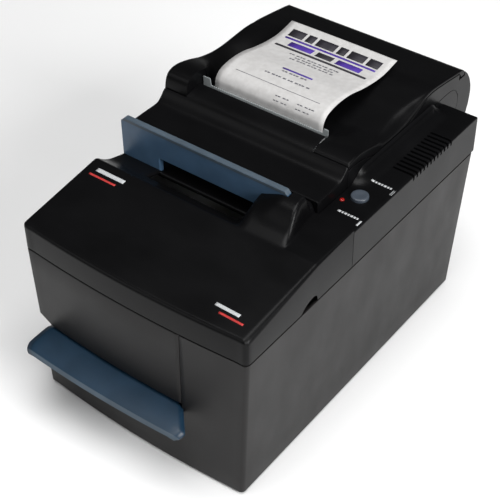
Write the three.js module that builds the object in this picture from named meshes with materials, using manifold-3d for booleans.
// Counter receipt printer: a thermal receipt station behind an impact slip station, in one case.
// Millimetres. +X is the printer's right side, +Y its back, +Z up. Z = 0 is the counter,
// X = 0 the middle of the case, Y = 0 the front face at its corners.
import * as THREE from 'three';
import { mergeVertices } from 'three/addons/utils/BufferGeometryUtils.js';
import Module from 'manifold-3d';

const wasm = await Module();
wasm.setup();

// ---- driving dimensions ---------------------------------------------------------------------
const WIDTH = 160;             // case width at the seam
const HALF = WIDTH / 2;
const REAR_Y = 234;            // back of the lower case at the seam
const SEAM_Z = 108.5;          // seam between the lower case and the covers
const CASE_BASE_Z = 1.2;       // underside of the lower case, above its feet
const SIDE_DRAFT = 4.4;        // how far the sides lean in towards the base
const FRONT_BOW = 3.2;         // how far the middle of the front stands proud of its corners
const FRONT_CORNER_R = 3.2;
const WALL = 2.6;              // plastic wall
const GAP = 0.3;               // clearance between neighbouring pieces

const RECEIPT_RIGHT_X = 55.2;  // right edge of the receipt station's covers
const COVER_REAR_Y = 97.3;     // rear edge of the front cover
const CREST_Y = 63;            // crest of the front cover
const CREST_Z = 135;
const FLAT_Z = 143;            // flat top of the mechanism cover
const SHOULDER_Z = 134.8;      // top of the right shoulder
const BEZEL_RIGHT_X = 36.2;    // vertical seam in the front face
const HUMP_LEFT_X = 17;
const HUMP_RIGHT_X = 57.6;
const PLATE_FRONT_Y = 86.5;    // slip guide plate
const PLATE_BACK_Y = 90.4;
const PLATE_TOP_Z = 151.3;
const PLATE_RIGHT_X = 42.8;
const FRONT_HINGE = { y: 95.4, z: 141.1 };
const REAR_HINGE = { y: 256.6, z: 144.2 };
const FRONT_LUGS = [[-60, -56], [28, 32]];   // spans in X of the knuckles on each hinge pin
const REAR_LUGS = [[-62, -57], [31, 36]];
const BEAD_R = 2;              // rounded rear edge of each cover, around its hinge pin
const PIN_R = 1.1;

const PAPER_X0 = -55;          // 80 mm paper
const PAPER_X1 = 25;
const ROLL = { y: 216, z: 108, r: 35 };
const PLATEN = { y: 152.5, z: 134.8, r: 6 };
const IDLER = { y: 152.5, z: 117.7 };
const PINION = { y: 138, z: 110.85 };
const GEAR_X0 = -71;
const GEAR_X1 = -66;
const NOTCH_X0 = -63;          // where the paper comes out, between the two humps of the lid
const NOTCH_X1 = 31;

const DECK_Z = 48;             // slip deck, and the throat above it
const THROAT_TOP_Z = 57;
const THROAT_BOTTOM_Z = 46.2;
const SLIP_ROLLER_Y = 30;
const PRINT_Z = 93;            // height of the slip print line
const CARRIAGE_X = 38;
const BELT_Y = 44;
const BUTTON = { x: 65.8, y: 124.5, r: 5.3 };
const LED = { x: 58.8, y: 116.9 };

// ---- geometry helpers -----------------------------------------------------------------------
const CURVE_STEPS = 24;

function vectors(points) {
  return points.map(([u, v]) => new THREE.Vector2(u, v));
}

function extrude(points, depth, holes = []) {
  const shape = new THREE.Shape(vectors(points));
  holes.forEach((hole) => shape.holes.push(new THREE.Path(vectors(hole))));
  return new THREE.ExtrudeGeometry(shape, { depth, bevelEnabled: false, steps: 1 });
}

// an outline drawn in (y, z), pushed along X
function alongX(points, x0, x1, holes) {
  const geometry = extrude(points, x1 - x0, holes);
  const turn = new THREE.Matrix4().set(0, 0, 1, x0, 1, 0, 0, 0, 0, 1, 0, 0, 0, 0, 0, 1);
  return geometry.applyMatrix4(turn);
}

// an outline drawn in (x, z), pushed along Y
function alongY(points, y0, y1, holes) {
  return extrude(points, y1 - y0, holes).rotateX(Math.PI / 2).translate(0, y1, 0);
}

// an outline drawn in (x, y), pushed along Z
function alongZ(points, z0, z1, holes) {
  return extrude(points, z1 - z0, holes).translate(0, 0, z0);
}

function block(x0, x1, y0, y1, z0, z1) {
  const box = new THREE.BoxGeometry(x1 - x0, y1 - y0, z1 - z0);
  return box.translate((x0 + x1) / 2, (y0 + y1) / 2, (z0 + z1) / 2);
}

function circle(u, v, r, steps = CURVE_STEPS) {
  return arc(u, v, r, 0, 360 - 360 / steps, steps - 1);
}

function arc(u, v, r, fromDeg, toDeg, steps) {
  const points = [];
  for (let i = 0; i <= steps; i += 1) {
    const a = THREE.MathUtils.degToRad(fromDeg + ((toDeg - fromDeg) * i) / steps);
    points.push([u + r * Math.cos(a), v + r * Math.sin(a)]);
  }
  return points;
}

function rodX(x0, x1, y, z, r, steps) {
  return alongX(circle(y, z, r, steps), x0, x1);
}

function rodZ(x, y, z0, z1, r, steps) {
  return alongZ(circle(x, y, r, steps), z0, z1);
}

function solid(geometry) {
  const bare = geometry.clone();
  bare.deleteAttribute('normal');
  bare.deleteAttribute('uv');
  const merged = mergeVertices(bare, 1e-4);
  return new wasm.Manifold(new wasm.Mesh({
    numProp: 3,
    vertProperties: new Float32Array(merged.attributes.position.array),
    triVerts: new Uint32Array(merged.index.array),
  }));
}

function geometryOf(manifold) {
  const mesh = manifold.getMesh();
  const geometry = new THREE.BufferGeometry();
  geometry.setAttribute('position', new THREE.BufferAttribute(new Float32Array(mesh.vertProperties), 3));
  geometry.setIndex(new THREE.BufferAttribute(new Uint32Array(mesh.triVerts), 1));
  geometry.computeVertexNormals();
  return geometry;
}

function join(...parts) {
  return parts.map((p) => (p.isBufferGeometry ? solid(p) : p)).reduce((a, b) => a.add(b));
}

function cut(base, ...tools) {
  const start = base.isBufferGeometry ? solid(base) : base;
  return tools.reduce((a, b) => a.subtract(b.isBufferGeometry ? solid(b) : b), start);
}

function common(a, b) {
  const first = a.isBufferGeometry ? solid(a) : a;
  return first.intersect(b.isBufferGeometry ? solid(b) : b);
}

// ---- scene graph ----------------------------------------------------------------------------
const printer = new THREE.Group();
const FINISH = {
  case: [0x2c2b2b, 0.55, 0.0],
  cover: [0x141416, 0.38, 0.0],
  frosted: [0x5f7385, 0.35, 0.0],
  steel: [0xa9adb0, 0.35, 0.9],
  aluminium: [0xb9bcbf, 0.45, 0.8],
  rubber: [0x1c1c1c, 0.9, 0.0],
  paper: [0xf4f1ec, 0.8, 0.0],
  board: [0x1f5a3a, 0.6, 0.0],
  gear: [0xe4e0d2, 0.5, 0.0],
  button: [0x7d8998, 0.4, 0.0],
  led: [0xc02a20, 0.3, 0.0],
  socket: [0x17181a, 0.5, 0.0],
};

function add(name, shape, finish) {
  const geometry = shape.isBufferGeometry ? shape : geometryOf(shape);
  const [color, roughness, metalness] = FINISH[finish];
  const mesh = new THREE.Mesh(geometry, new THREE.MeshStandardMaterial({ color, roughness, metalness }));
  mesh.name = name;
  printer.add(mesh);
}

// ---- case outline ---------------------------------------------------------------------------
// plan of the case with a bowed front and rounded corners, moved in by inset
function casePlan(inset) {
  const h = HALF - inset;
  const front = inset;
  const rear = REAR_Y - inset;
  const r = Math.max(0.6, FRONT_CORNER_R - inset);
  const points = [];
  const bowSteps = 8;
  points.push(...arc(h - r, front + r, r, -70, 0, 4));
  points.push(...arc(h - 3, rear - 3, 3, 0, 90, 2));
  points.push(...arc(-h + 3, rear - 3, 3, 90, 180, 2));
  points.push(...arc(-h + r, front + r, r, 180, 250, 4));
  for (let i = 1; i < bowSteps; i += 1) {
    const t = -1 + (2 * i) / bowSteps;
    const x = t * (h - r);
    points.push([x, front - FRONT_BOW * (1 - t * t)]);
  }
  return points;
}

// the same plan as a prism whose sides and back lean in towards the base
function draftedPrism(inset, z0, z1) {
  const geometry = alongZ(casePlan(inset), z0, z1);
  const p = geometry.attributes.position;
  for (let i = 0; i < p.count; i += 1) {
    const lean = SIDE_DRAFT * (1 - p.getZ(i) / SEAM_Z);
    p.setX(i, p.getX(i) * (1 - lean / HALF));
    p.setY(i, p.getY(i) * (1 - lean / REAR_Y));
  }
  return geometry;
}

const shellLow = cut(
  draftedPrism(0, CASE_BASE_Z, SEAM_Z - GAP),
  draftedPrism(WALL, CASE_BASE_Z + WALL, SEAM_Z + 5),
);

const SCREWS = [[0, 16], [0, 214]];       // the chassis hooks into the case at its corners

function lowerCase() {
  const bezelSeat = block(-HALF - 5, BEZEL_RIGHT_X + GAP, -8, WALL + 0.5, THROAT_BOTTOM_Z, SEAM_Z + 3);
  const throat = block(-HALF - 5, BEZEL_RIGHT_X + GAP, -8, 72, THROAT_BOTTOM_Z, THROAT_TOP_Z);
  const rollNotch = block(-60, 30, REAR_Y - 12, REAR_Y + 6, 69.5, SEAM_Z + 3);
  const connectorWindow = block(-19, 64, REAR_Y - 14, REAR_Y + 6, 14, 58);
  const screwHoles = SCREWS.map(([x, y]) => rodZ(x, y, 0, 6, 2, 12));
  return cut(shellLow, bezelSeat, throat, rollNotch, connectorWindow, ...screwHoles);
}

// front face left of the seam: it hangs over the slip throat, with its lower left corner cut off
function slipBezel() {
  const zone = block(-HALF - 5, BEZEL_RIGHT_X, -8, WALL + 0.1, 52.6, SEAM_Z + 3);
  const corner = alongY([[-90, 50], [-68, 50], [-68, 53], [-79.2, 58], [-90, 58]], -8, 6);
  const lip = block(-66, 34, 0.4, 5.5, 55, 58);
  return join(cut(common(shellLow, zone), corner), lip);
}

// ---- front cover ----------------------------------------------------------------------------
const TOP_FRONT_Z = 126;
const HUMP = [[CREST_Y, CREST_Z], [69, 137.6], [76, 140.2], [84, 142.2], [92, 143]];

function frontCoverTop(lower) {
  return [[-8, 100], [-8, 120.2 - lower], [-2.6, 124.2 - lower], [1.5, TOP_FRONT_Z + 0.3 - lower],
    [CREST_Y, CREST_Z - lower]];
}

const scoopFloor = [[67, 131], [72.5, 128.3], [79, 126.2], [85.9, 124.4]];

function sink(points, depth) {
  return points.map(([y, z]) => [y, z - depth]);
}

function frontCover() {
  const plan = alongZ(casePlan(0), SEAM_Z + GAP, 170);
  const innerPlan = alongZ(casePlan(WALL), SEAM_Z - 2, 170);
  const rearOf = (y, z) => [[y, z], [y, 100]];
  const scoopSection = [...frontCoverTop(0), ...scoopFloor, ...rearOf(86.2, 124.4)];
  const scoopPart = alongX(scoopSection, -HALF - 1, HALF + 1);
  const strip = alongX([...frontCoverTop(0), ...rearOf(COVER_REAR_Y, 135.8)], HUMP_RIGHT_X - 3, HALF + 1);
  const humpFront = alongX([...HUMP.slice(0, 4), [86.2, 142.6], [86.2, 120], [CREST_Y, 120]],
    HUMP_LEFT_X, PLATE_RIGHT_X);
  const bead = arc(FRONT_HINGE.y, FRONT_HINGE.z, BEAD_R, 90, 0, 4);
  const humpRear = alongX([...HUMP, ...bead, [COVER_REAR_Y, 100], [CREST_Y, 100]],
    PLATE_RIGHT_X + GAP, HUMP_RIGHT_X);
  const railSection = [[91, FLAT_Z], ...bead, [COVER_REAR_Y, 126], [91, 126]];
  const rail = alongX(railSection, -HALF + 0.2, PLATE_RIGHT_X + 5);
  const leftEnd = alongX([[80, 105], [COVER_REAR_Y, 105], ...[...bead].reverse(), [91, FLAT_Z],
    [91, 120.4], [80, 120.4]], -HALF + 0.2, -HALF + WALL);
  const outer = common(join(scoopPart, strip, humpFront, humpRear, rail, leftEnd), plan);

  const hollow = alongX([...sink(frontCoverTop(0), WALL), ...sink(scoopFloor.slice(0, 3), WALL),
    [83.4, 121.8], [83.4, 100]], -HALF, HALF);
  const humpHollow = alongX([...sink(HUMP.slice(0, 4), WALL), [83.4, 100], [CREST_Y, 100]],
    HUMP_LEFT_X + WALL, HUMP_RIGHT_X - WALL);
  const rearHollow = alongX([[60, 100], [60, 132.3], [94.7, 132.6], [94.7, 100]], PLATE_RIGHT_X + 3, HALF);
  const cavity = common(join(hollow, humpHollow, rearHollow), innerPlan);

  const slot = block(-50, HUMP_LEFT_X, 73.5, 86.6, 100, 140);
  const pinBore = rodX(-70, 46, FRONT_HINGE.y, FRONT_HINGE.z, PIN_R + 0.2, 12);
  const lugs = FRONT_LUGS.map(([x0, x1]) => block(x0 - 0.4, x1 + 0.4, 92.6, 98, 130, 145));
  const notch = alongX(arc(57, SEAM_Z, 7, -10, 190, 8), HALF - 1.2, HALF + 3);
  return cut(outer, cavity, slot, pinBore, notch, ...lugs);
}

function slipGuide() {
  const right = PLATE_RIGHT_X - 0.3;
  const outline = [[-HALF, 121.2], [-50.5, 121.2], [-50.5, 132.5], [right, 132.5], [right, PLATE_TOP_Z - 2],
    [right - 2, PLATE_TOP_Z], [3.2 - HALF, PLATE_TOP_Z], [-HALF, PLATE_TOP_Z - 3.2]];
  return alongY(outline, PLATE_FRONT_Y, PLATE_BACK_Y);
}

// knuckles joined to a cover, each on a foot, then bored together for the hinge pin
function withKnuckles(cover, hinge, lugs, foot) {
  const bore = (x0, x1) => rodX(x0 - 1, x1 + 1, hinge.y, hinge.z, PIN_R + 0.15, 12);
  const barrels = lugs.map(([x0, x1]) => join(
    rodX(x0, x1, hinge.y, hinge.z, BEAD_R, 16),
    alongX(foot, x0, x1),
  ));
  return cut(join(cover, ...barrels), ...lugs.map(([x0, x1]) => bore(x0, x1)));
}

// ---- mechanism cover: flat top behind the slip guide, rising to the tear bar ------------------
const COVER2_Y0 = 97.7;
const RISE = [[COVER2_Y0, FLAT_Z], [123, FLAT_Z], [127, 149.8]];
const TONGUE = [[127, 149.8], [133, 151.4], [140.6, 152.4]];
const TONGUE_THICK = 2.2;

function mechanismCover() {
  const base = SEAM_Z + GAP;
  const x0 = -HALF;
  const x1 = RECEIPT_RIGHT_X;
  const body = alongX([[COVER2_Y0, base], ...RISE, [127, base]], x0, x1);
  const ceiling = FLAT_Z - WALL;
  const hollow = alongX([[COVER2_Y0 + WALL, 100], [COVER2_Y0 + WALL, ceiling], [122.4, ceiling],
    [126.4, 147.2], [130, 147.2], [130, 100]], x0 + WALL, x1 - WALL);
  const tongueSection = [...TONGUE, ...sink(TONGUE, TONGUE_THICK).reverse(), [124, 146]];
  const tongue = alongX(tongueSection, NOTCH_X0 + 0.4, NOTCH_X1 - 0.4);
  const foot = [[FRONT_HINGE.y, FRONT_HINGE.z - BEAD_R], [98.4, 137.5], [98.4, FLAT_Z],
    [FRONT_HINGE.y, FRONT_HINGE.z + 1.9]];
  return withKnuckles(join(cut(body, hollow), tongue), FRONT_HINGE, FRONT_LUGS, foot);
}

// ---- roll housing and its lid ----------------------------------------------------------------
const LID_BACK = [[170, 146.6], [178, 147.2], [186, 148.2], [200, 150.8], [213, 152.4], [230, 151.4],
  [247, 148.7], [253.5, 147.7]];
const LID_MID = [[147, 146.2], [164, 145.4], ...LID_BACK];
const LID_THICK = 2.6;
const HOUSING_Y0 = 127.4;

function lidUnder(drop) {
  const side = [[HOUSING_Y0, 147], [142.8, 146.2], [146.2, 143.3], [164, 142.7]];
  return sink([...side, ...sink(LID_BACK, LID_THICK)], drop);
}

function rollHousing() {
  const base = SEAM_Z + GAP;
  const bulge = [[253.6, 141.6], [259.2, 141.6], [259.2, 143.6], [260, 144.2], [261.7, 142.8],
    [264.4, 139.8], [266.9, 136.2], [269.8, 129.5], [270.4, 124.5], [269.6, 116], [267.8, 110], [265.3, 101],
    [262, 93], [257.5, 85], [251.5, 77], [244, 70], [REAR_Y + 0.4, 70], [REAR_Y + 0.4, base]];
  const outer = [[HOUSING_Y0, base], ...lidUnder(GAP).slice(0, -1), ...bulge];
  const inside = [[250, 160], [259.2, 160], [259.2, 141.4], [262.2, 138.2], [264.5, 135], [267.2, 128.6],
    [267.7, 124.6], [267, 116.4], [265.2, 110.6], [262.8, 101.9], [259.6, 94.1], [255.2, 86.4],
    [249.8, 79.2], [243.4, 72.8], [REAR_Y + 3.2, 72.8], [REAR_Y + 3.2, 100],
    [HOUSING_Y0 + 2.8, 100], [HOUSING_Y0 + 2.8, 160]];
  const x0 = -HALF;
  const x1 = RECEIPT_RIGHT_X;
  const shell = cut(alongX(outer, x0, x1), alongX(inside, x0 + WALL, x1 - WALL));
  // the front end is open to the mechanism, and the back wall opens to the lower case's notch
  const frontOpen = block(x0 + WALL, x1 - WALL, 120, 132, 100, 160);
  const rollOpening = block(-60, 30, REAR_Y - 4, REAR_Y + 6, 72.8, 130);
  const foot = [[REAR_HINGE.y, REAR_HINGE.z - BEAD_R], [256.4, 138.2], [263.4, 138.2],
    [260.4, 142.6], [REAR_HINGE.y + 1.9, REAR_HINGE.z]];
  return withKnuckles(cut(shell, frontOpen, rollOpening), REAR_HINGE, REAR_LUGS, foot);
}

const PLATEN_ARMS = [[-60.6, -57.8], [28, 30.8]];

function receiptCover() {
  const x0 = -HALF;
  const x1 = RECEIPT_RIGHT_X;
  const bead = arc(REAR_HINGE.y, REAR_HINGE.z, BEAD_R, 90, -90, 8);
  const under = [...sink(LID_MID, LID_THICK)].reverse();
  const main = alongX([...LID_MID, ...bead, [253.3, 142.6], ...under.slice(1)], x0, x1);
  const humpTop = [[HOUSING_Y0 + 0.2, 150.2], [131, 151.1], [136, 151.7], [141.4, 151.5], [148, 150.2],
    [155, 148.4], [160.3, 147.2], [166, 146.3], [172, 146.7]];
  const rim = [[164, 143], [152, 144.7], [140, 146.8], [HOUSING_Y0 + 0.2, 147.2]];
  const rightHump = alongX([...humpTop, [172, 144], ...rim], NOTCH_X1, x1);
  const blockTop = [[HOUSING_Y0 + 0.2, 151], [128.5, 154.8], [129.7, 157.8], [132, 160], [135.5, 161],
    [140, 160.9], [145, 160], [152, 158], [160, 155.2], [168, 153], [176, 151.6], [184, 151.2],
    [194, 151.9], [206, 152.9], [213, 152.8]];
  const blockUnder = [[213, 150.8], [200, 149.2], [186, 146.6], [178, 145.4], [170, 144.8]];
  const leftBlock = alongX([...blockTop, ...blockUnder, ...rim], x0, NOTCH_X0);
  const armSection = [[148.6, 129.4], [156.4, 129.4], [166, 144], [147.2, 145]];
  const arms = PLATEN_ARMS.map(([ax0, ax1]) => alongX(armSection, ax0, ax1));
  const lid = join(main, rightHump, leftBlock, ...arms);
  const shaftBore = rodX(-61.5, 32, PLATEN.y, PLATEN.z, 2.8, 16);
  const pinBore = rodX(-72, 46, REAR_HINGE.y, REAR_HINGE.z, PIN_R + 0.2, 12);
  const lugs = REAR_LUGS.map(([lx0, lx1]) => block(lx0 - 0.4, lx1 + 0.4, 253.7, 261, 138, 148));
  return cut(lid, shaftBore, pinBore, ...lugs);
}

// ---- right shoulder ---------------------------------------------------------------------------
const VENTS = 12;
const VENT_Y0 = 159.8;
const VENT_PITCH = 3.85;

function shoulderCover() {
  const x0 = RECEIPT_RIGHT_X + 0.4;
  const y0 = COVER2_Y0;
  const base = SEAM_Z + GAP;
  const section = [[x0, base], [HALF, base], [HALF, SHOULDER_Z], [x0, SHOULDER_Z]];
  const thin = 1.2;
  const ceiling = SHOULDER_Z - 2.4;
  const inner = [[x0 + thin, 100], [HALF - WALL, 100], [HALF - WALL, ceiling], [x0 + thin, ceiling]];
  const box = cut(alongY(section, y0, REAR_Y), alongY(inner, y0 + WALL, REAR_Y - WALL));
  const filletSection = [[x0, SHOULDER_Z - 1], [68, SHOULDER_Z - 1], [67, SHOULDER_Z], [62.4, 135.8],
    [58.8, 138.3], [56.8, 141.6], [x0, 142.2]];
  const fillet = alongY(filletSection, 132, 226);
  const vents = [];
  for (let i = 0; i < VENTS; i += 1) {
    const y = VENT_Y0 + i * VENT_PITCH;
    vents.push(block(69, HALF + 1, y - 0.8, y + 0.8, SHOULDER_Z - 3.2, SHOULDER_Z + 1));
  }
  const buttonHole = rodZ(BUTTON.x, BUTTON.y, 120, 140, BUTTON.r + 0.35, 24);
  const ledHole = rodZ(LED.x, LED.y, 128, 140, 1.8, 12);
  return cut(join(box, fillet), ...vents, buttonHole, ledHole);
}

function feedButton() {
  const profile = [[0, 127], [2, 127], [2, 131.4], [BUTTON.r + 0.9, 131.4], [BUTTON.r + 0.9, 132.1],
    [BUTTON.r, 132.1], [BUTTON.r, 135.4], [BUTTON.r - 1.2, 136.3], [0, 136.7]];
  const button = new THREE.LatheGeometry(vectors(profile), CURVE_STEPS).rotateX(Math.PI / 2);
  return button.translate(BUTTON.x, BUTTON.y, 0);
}

function springTube(x, y, z0, z1, outer, inner) {
  return alongZ(circle(x, y, outer, 16), z0, z1, [circle(x, y, inner, 16)]);
}

// ---- gears ------------------------------------------------------------------------------------
// one tooth of module 1: fractions of the pitch, and heights from the pitch circle
const TOOTH = [[-0.29, -1.15], [-0.1, 0.85], [0.1, 0.85], [0.29, -1.15]];

// straight-sided spur gear in the (y, z) plane, with a tooth centred at phaseDeg
function gearOutline(centre, teeth, phaseDeg) {
  const pitch = 360 / teeth;
  const r = teeth / 2;
  const points = [];
  for (let i = 0; i < teeth; i += 1) {
    const a = phaseDeg + i * pitch;
    TOOTH.forEach(([part, depth]) => {
      const radius = r + depth;
      const angle = THREE.MathUtils.degToRad(a + part * pitch);
      points.push([centre.y + radius * Math.cos(angle), centre.z + radius * Math.sin(angle)]);
    });
  }
  return points;
}

function headingDeg(from, to) {
  return THREE.MathUtils.radToDeg(Math.atan2(to.z - from.z, to.y - from.y));
}

const PLATEN_TEETH = 14;
const IDLER_TEETH = 20;
const PINION_TEETH = 12;
const idlerPhase = headingDeg(IDLER, PLATEN);
const platenPhase = headingDeg(PLATEN, IDLER) + 180 / PLATEN_TEETH;

// the pinion's tooth falls in the idler's gap: both are counted along the line between centres
function pinionPhase() {
  const toPinion = headingDeg(IDLER, PINION);
  const idlerPitch = 360 / IDLER_TEETH;
  const past = (((toPinion - idlerPhase) % idlerPitch) + idlerPitch) % idlerPitch;
  const pinionPitch = 360 / PINION_TEETH;
  return headingDeg(PINION, IDLER) + (past / idlerPitch) * pinionPitch + pinionPitch / 2;
}

// ---- build: casing ------------------------------------------------------------------------------
add('lower_case', lowerCase(), 'case');
add('slip_bezel', slipBezel(), 'case');
add('front_cover', frontCover(), 'cover');
add('slip_guide', slipGuide(), 'frosted');
add('mechanism_cover', mechanismCover(), 'cover');
add('roll_housing', rollHousing(), 'cover');
add('receipt_cover', receiptCover(), 'cover');
add('shoulder_cover', shoulderCover(), 'case');
add('front_hinge_pin', rodX(-64, 36, FRONT_HINGE.y, FRONT_HINGE.z, PIN_R, 12), 'steel');
add('receipt_hinge_pin', rodX(-66, 40, REAR_HINGE.y, REAR_HINGE.z, PIN_R, 12), 'steel');

// slip table: a frosted ledge that widens towards the front and droops a little
function slipTable() {
  const plan = [[-66, 24], [-68, -0.5], [-74.2, -13.5], [-73, -17.4], [-70, -18.6], [-30, -20.6],
    [10, -21], [43, -20.2], [46.4, -18.4], [46.6, -15.6], [33.6, -0.5], [33.6, 24]];
  const section = [[24, 46.6], [24, 48.4], [10, 49.4], [-1, 51], [-14, 48.6], [-18.5, 46.8],
    [-22, 44], [-22, 43], [-16, 44], [-1, 46.6]];
  return common(alongZ(plan, 38, 56), alongX(section, -HALF, HALF));
}
add('slip_table', slipTable(), 'frosted');

const FOOT_R = 7;
[[24, 'front'], [212, 'rear']].forEach(([y, end]) => {
  [[-58, 'left'], [58, 'right']].forEach(([x, side]) => {
    add(`foot_${end}_${side}`, rodZ(x, y, 0, CASE_BASE_Z - 0.1, FOOT_R, 20), 'rubber');
  });
});

// ---- build: frame --------------------------------------------------------------------------------
const FRAME_X = 69;
const FRAME_Z = 9;

function chassis() {
  const floor = block(-FRAME_X - 1.5, FRAME_X + 1.5, 8, 222, FRAME_Z, FRAME_Z + 1.5);
  const sideOutline = [[8, FRAME_Z], [222, FRAME_Z], [222, 60], [176, 60], [160, 92], [100, 104], [70, 106],
    [30, 98], [8, 90]];
  const left = cut(alongX(sideOutline, -FRAME_X - 1.5, -FRAME_X), block(-75, -60, 0, 73, 44, 60));
  const right = alongX(sideOutline, FRAME_X, FRAME_X + 1.5);
  const holes = SCREWS.map(([x, y]) => rodZ(x, y, 5, 15, 1.9, 12));
  const rods = GUIDE_RODS.map(({ y, z, r }) => rodX(-80, 80, y, z, r + 0.3, 16));
  return cut(join(floor, left, right), ...holes, ...rods);
}

const GUIDE_RODS = [{ y: 54, z: 86, r: 3 }, { y: 32, z: 88, r: 2.5 }];
add('chassis', chassis(), 'steel');
GUIDE_RODS.forEach(({ y, z, r }, i) => {
  add(i ? 'front_guide_rod' : 'rear_guide_rod', rodX(-71.5, 71.5, y, z, r, 16), 'steel');
});
SCREWS.forEach(([x, y], i) => {
  const head = rodZ(x, y, CASE_BASE_Z - 1, CASE_BASE_Z - 0.1, 3, 16);
  const screw = join(head, rodZ(x, y, CASE_BASE_Z - 0.2, 12.5, 1.5, 12));
  add(`case_screw_${i + 1}`, screw, 'steel');
});

// ---- build: receipt station -----------------------------------------------------------------------
function tearBar() {
  const x0 = NOTCH_X0 + 0.8;
  const x1 = NOTCH_X1 - 0.8;
  const bar = alongX([[141, 148.6], [144, 148.6], [144, 151.2], [143.4, 152.9], [141, 152.6]], x0, x1);
  const teeth = [];
  const pitch = 2.5;
  for (let x = x0 + 1.2; x < x1 - 1; x += pitch) {
    teeth.push(alongY([[x, 153.6], [x + pitch / 2, 152], [x + pitch, 153.6]], 142.6, 145));
  }
  return cut(bar, ...teeth);
}
add('tear_bar', tearBar(), 'steel');

function thermalHead() {
  const fins = [];
  for (let i = 0; i < 5; i += 1) {
    fins.push(block(-57, 27, 134, 140.4, 128.5 + i * 3.4, 130.1 + i * 3.4));
  }
  return join(block(-57, 27, 140, 145.8, 128, 146.4), ...fins);
}
add('thermal_head', thermalHead(), 'aluminium');

// an angle: its upright carries the head, and its foot stands clear of the motor
function headBracket() {
  const upright = block(-62, 32, 131.6, 133.6, 124.2, 146);
  const web = block(-38, 32, 131.6, 133.6, 111, 125);
  return join(upright, web, block(-38, 32, 118, 133, 111, 112.6));
}
add('head_bracket', headBracket(), 'steel');

function gearPlate() {
  const plate = alongX([[122, 96], [166, 96], [166, 130], [150, 130], [122, 124]], -65, -63.4,
    [circle(PINION.y, PINION.z, 2.6, 16)]);
  return join(plate, rodX(-72, -64, IDLER.y, IDLER.z, 1.7, 16));
}
add('gear_plate', gearPlate(), 'steel');

function receiptMotor() {
  const can = rodX(-62.8, -42, PINION.y, PINION.z, 12.5, 24);
  return join(can, rodX(-63.2, -62, PINION.y, PINION.z, 2, 16));
}
add('receipt_motor', receiptMotor(), 'steel');

function spurGear(centre, teeth, phaseDeg, boreR) {
  const outline = gearOutline(centre, teeth, phaseDeg);
  const bore = boreR ? [circle(centre.y, centre.z, boreR, 16)] : [];
  return alongX(outline, GEAR_X0, GEAR_X1, bore);
}

const pinionGear = spurGear(PINION, PINION_TEETH, pinionPhase());
const pinionShaft = rodX(GEAR_X1 - 1, -63.6, PINION.y, PINION.z, 1.6, 16);
add('motor_pinion', join(pinionGear, pinionShaft), 'gear');
add('idler_gear', spurGear(IDLER, IDLER_TEETH, idlerPhase, 2.05), 'gear');

const SHAFT_R = 2.45;
const SHAFT_BORE_R = SHAFT_R + GAP;
add('platen_gear', spurGear(PLATEN, PLATEN_TEETH, platenPhase, SHAFT_BORE_R), 'gear');
add('platen_shaft', rodX(-72, 33, PLATEN.y, PLATEN.z, SHAFT_R, 16), 'steel');

// a tube lying along X
function sleeve(x0, x1, centre, outer, inner, steps) {
  const bore = circle(centre.y, centre.z, inner, 16);
  return alongX(circle(centre.y, centre.z, outer, steps), x0, x1, [bore]);
}
const platenTube = sleeve(PAPER_X0 - 1, PAPER_X1 + 1, PLATEN, PLATEN.r - 0.2, SHAFT_BORE_R, 24);
add('platen_roller', platenTube, 'rubber');
add('paper_roll', sleeve(PAPER_X0 + 0.2, PAPER_X1 - 0.2, ROLL, ROLL.r, 8.6, 36), 'paper');
add('roll_core', sleeve(PAPER_X0 + 0.5, PAPER_X1 - 0.5, ROLL, 8.3, 6.3, 20), 'gear');

function rollCradle() {
  const bed = [...arc(ROLL.y, ROLL.z, 36.4, 205, 328, 12), ...arc(ROLL.y, ROLL.z, 38.6, 328, 205, 12)];
  const trough = alongX(bed, PAPER_X0 - 2.5, PAPER_X1 + 2.5);
  const cheek = [...arc(ROLL.y, ROLL.z, 38.6, 205, 328, 12), [ROLL.y, ROLL.z]];
  const leftCheek = alongX(cheek, PAPER_X0 - 3.5, PAPER_X0 - 1.5);
  return join(trough, leftCheek, alongX(cheek, PAPER_X1 + 1.5, PAPER_X1 + 3.5));
}
add('roll_cradle', rollCradle(), 'socket');

// the printed strip: up out of the slot, over the lid's front and down onto its crown
function receiptPaper() {
  const spine = new THREE.SplineCurve(vectors([[146, 147.4], [145.7, 151.4], [146.4, 156],
    [151, 160.2], [161, 162.2], [173.5, 161.3], [187, 158.2], [200, 156.2], [212, 155.9],
    [226, 158.2]]));
  const steps = 28;
  const half = 0.17;
  const one = [];
  const other = [];
  for (let i = 0; i <= steps; i += 1) {
    const p = spine.getPoint(i / steps);
    const t = spine.getTangent(i / steps);
    one.push([p.x - t.y * half, p.y + t.x * half]);
    other.unshift([p.x + t.y * half, p.y - t.x * half]);
  }
  return alongX([...one, ...other], PAPER_X0, PAPER_X1);
}
add('receipt_paper', receiptPaper(), 'paper');

// ---- build: slip station ---------------------------------------------------------------------------
const SLIP_X0 = -66;
const SLIP_X1 = 34;
const ROLLER_BANDS = [[-44, -30], [-2, 12]];

function slipDeck() {
  const under = [[25, DECK_Z - 1.4], [62, DECK_Z - 1.4], ...arc(62, 75, 28.4, -90, 0, 6), [90.4, 118]];
  const over = [[88.9, 118], ...arc(62, 75, 27, 0, -90, 6), [62, DECK_Z], [25, DECK_Z]];
  const deck = alongX([...under, ...over], SLIP_X0, SLIP_X1);
  const windows = ROLLER_BANDS.map(([x0, x1]) => block(x0 - 1, x1 + 1, 22, 38, 40, 52));
  return cut(deck, ...windows);
}
add('slip_deck', slipDeck(), 'steel');

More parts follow.
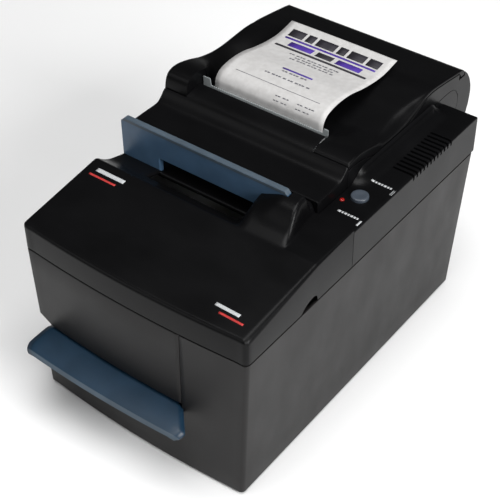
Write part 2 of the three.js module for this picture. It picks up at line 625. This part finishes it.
function slipFrontGuide() {
  const section = [[8, THROAT_TOP_Z + 0.4], [8, THROAT_TOP_Z + 1.6], [60, THROAT_TOP_Z + 1.6],
    ...arc(60, 76, 16.4, -90, 0, 5), ...arc(60, 76, 17.6, 0, -90, 5), [60, THROAT_TOP_Z + 0.4]];
  const plate = alongX(section, SLIP_X0, SLIP_X1);
  const windows = ROLLER_BANDS.map(([x0, x1]) => block(x0 - 1, x1 + 1, 22, 38, 50, 62));
  return cut(plate, ...windows);
}
add('slip_front_guide', slipFrontGuide(), 'steel');
add('slip_platen', block(-62, 32, 85.2, 88.4, PRINT_Z - 4, PRINT_Z + 4), 'rubber');

function rollerLathe(z, r, shaftR, y) {
  const profile = [[0, SLIP_X0 + 3], [shaftR, SLIP_X0 + 3]];
  ROLLER_BANDS.forEach(([x0, x1]) => profile.push([shaftR, x0], [r, x0], [r, x1], [shaftR, x1]));
  profile.push([shaftR, SLIP_X1 + 3], [0, SLIP_X1 + 3]);
  return new THREE.LatheGeometry(vectors(profile), 20).rotateZ(-Math.PI / 2).translate(0, y, z);
}
add('slip_drive_roller', rollerLathe(43.4, 6, 2.5, SLIP_ROLLER_Y), 'rubber');
add('slip_pressure_roller', rollerLathe(54.9, 5, 1.6, SLIP_ROLLER_Y), 'rubber');
add('slip_motor', rodX(SLIP_X1 + 3.4, 60, SLIP_ROLLER_Y, 43.4, 14, 24), 'steel');

// carriage: an impact head on a block that slides on the two rods
function carriage() {
  const section = [[26, 82], [60, 82], [60, 98.5], [48, 98.5], [44, 93], [26, 93]];
  const body = alongX(section, CARRIAGE_X - 14, CARRIAGE_X + 14);
  const bores = GUIDE_RODS.map(({ y, z, r }) => rodX(0, 80, y, z, r + 0.35, 16));
  return cut(body, ...bores);
}
add('carriage', carriage(), 'socket');
add('impact_head', alongX([[60.4, 86], [70, 86], [81, 90.4], [81, 95.6], [70, 99], [60.4, 99]],
  CARRIAGE_X - 9, CARRIAGE_X + 9), 'aluminium');

// toothed belt round two pulleys, driven from the left one
const PULLEY_LEFT_X = -54;
const PULLEY_RIGHT_X = 60;
const BELT_INNER_R = 6;
const BELT_OUTER_R = 6.9;

function beltPulley(x) {
  const drum = rodZ(x, BELT_Y, 73, 79.4, BELT_INNER_R - 0.4, 20);
  return join(drum, rodZ(x, BELT_Y, 72, 73.2, 7.4, 20));
}
add('belt_pulley_left', beltPulley(PULLEY_LEFT_X), 'gear');
add('belt_pulley_right', beltPulley(PULLEY_RIGHT_X), 'gear');

function beltLoop(r) {
  return [...arc(PULLEY_RIGHT_X, BELT_Y, r, -90, 90, 8), ...arc(PULLEY_LEFT_X, BELT_Y, r, 90, 270, 8)];
}
add('carriage_belt', alongZ(beltLoop(BELT_OUTER_R), 74, 79, [beltLoop(BELT_INNER_R)]), 'rubber');

const motorCan = rodZ(PULLEY_LEFT_X, BELT_Y, 59.2, 71, 11, 24);
const motorBoss = rodZ(PULLEY_LEFT_X, BELT_Y, 70, 71.7, 2, 12);
add('carriage_motor', join(motorCan, motorBoss), 'steel');

const KNOB = { x: -46, y: 34 };

function ribbonCassette() {
  const arms = [[-66, -58], [58, 66]].map(([x0, x1]) => block(x0, x1, 60, 81.6, 100, 107));
  return cut(join(block(-66, 66, 8, 66, 100, 111), ...arms), rodZ(KNOB.x, KNOB.y, 95, 120, 3.4, 16));
}
add('ribbon_cassette', ribbonCassette(), 'socket');

// winds the ribbon tight by hand: a stem, a disc and a finger grip across it
function ribbonKnob() {
  const stem = rodZ(KNOB.x, KNOB.y, 104, 111.5, 3, 16);
  const disc = rodZ(KNOB.x, KNOB.y, 111.4, 114.6, 7, 20);
  return join(stem, disc, block(KNOB.x - 6, KNOB.x + 6, KNOB.y - 0.8, KNOB.y + 0.8, 114.4, 117));
}
add('ribbon_knob', ribbonKnob(), 'gear');
add('ink_ribbon', block(-57.5, 57.5, 82, 82.5, PRINT_Z - 6, PRINT_Z + 6.4), 'rubber');

// ---- build: electronics ------------------------------------------------------------------------------
const BOARD_X = 62;

// upright board with a transformer block and a row of capacitors
function logicBoard() {
  const board = block(BOARD_X, BOARD_X + 1.6, 78, 206, 14, 98);
  const transformer = block(BOARD_X - 5, BOARD_X + 0.5, 120, 150, 40, 70);
  return join(board, transformer, block(BOARD_X - 3, BOARD_X + 0.5, 90, 104, 30, 80));
}
add('logic_board', logicBoard(), 'board');

// name, middle in X, and the width and height of the hole that a plug goes into
const SOCKETS = [['power_socket', 54, 12, 12], ['drawer_socket', 36, 12, 12],
  ['serial_socket', 12, 26, 10], ['usb_socket', -11, 6.6, 8]];
const SOCKET_WALL = 1.6;
const SOCKET_Z = 30;
const PANEL_Y = 222.6;

// a block round a socket's middle line, larger than its hole by margin on each side
function socketBlock([, x, w, h], margin, y0, y1) {
  const halfW = w / 2 + margin;
  const halfH = h / 2 + margin;
  return block(x - halfW, x + halfW, y0, y1, SOCKET_Z - halfH, SOCKET_Z + halfH);
}

function connectorPanel() {
  const windows = SOCKETS.map((socket) => socketBlock(socket, SOCKET_WALL + 0.4, 215, 230));
  return cut(block(-22, 67, PANEL_Y, PANEL_Y + 1.6, 12, 60), ...windows);
}
add('connector_panel', connectorPanel(), 'steel');
SOCKETS.forEach((socket) => {
  const shell = socketBlock(socket, SOCKET_WALL, 209, 226);
  add(socket[0], cut(shell, socketBlock(socket, 0, 212, 230)), 'socket');
});

add('feed_button', feedButton(), 'button');
add('button_spring', springTube(BUTTON.x, BUTTON.y, 124.2, 131, 3.4, 2.6), 'steel');
add('button_board', block(57.2, 76, 111, 140, 122.2, 123.8), 'board');
add('status_led', rodZ(LED.x, LED.y, 124.2, 135, 1.5, 12), 'led');

// the origin moves to the middle of the printer's footprint
const FOOTPRINT_MID_Y = 124.7;
printer.position.set(0, -FOOTPRINT_MID_Y, 0);

export default printer;
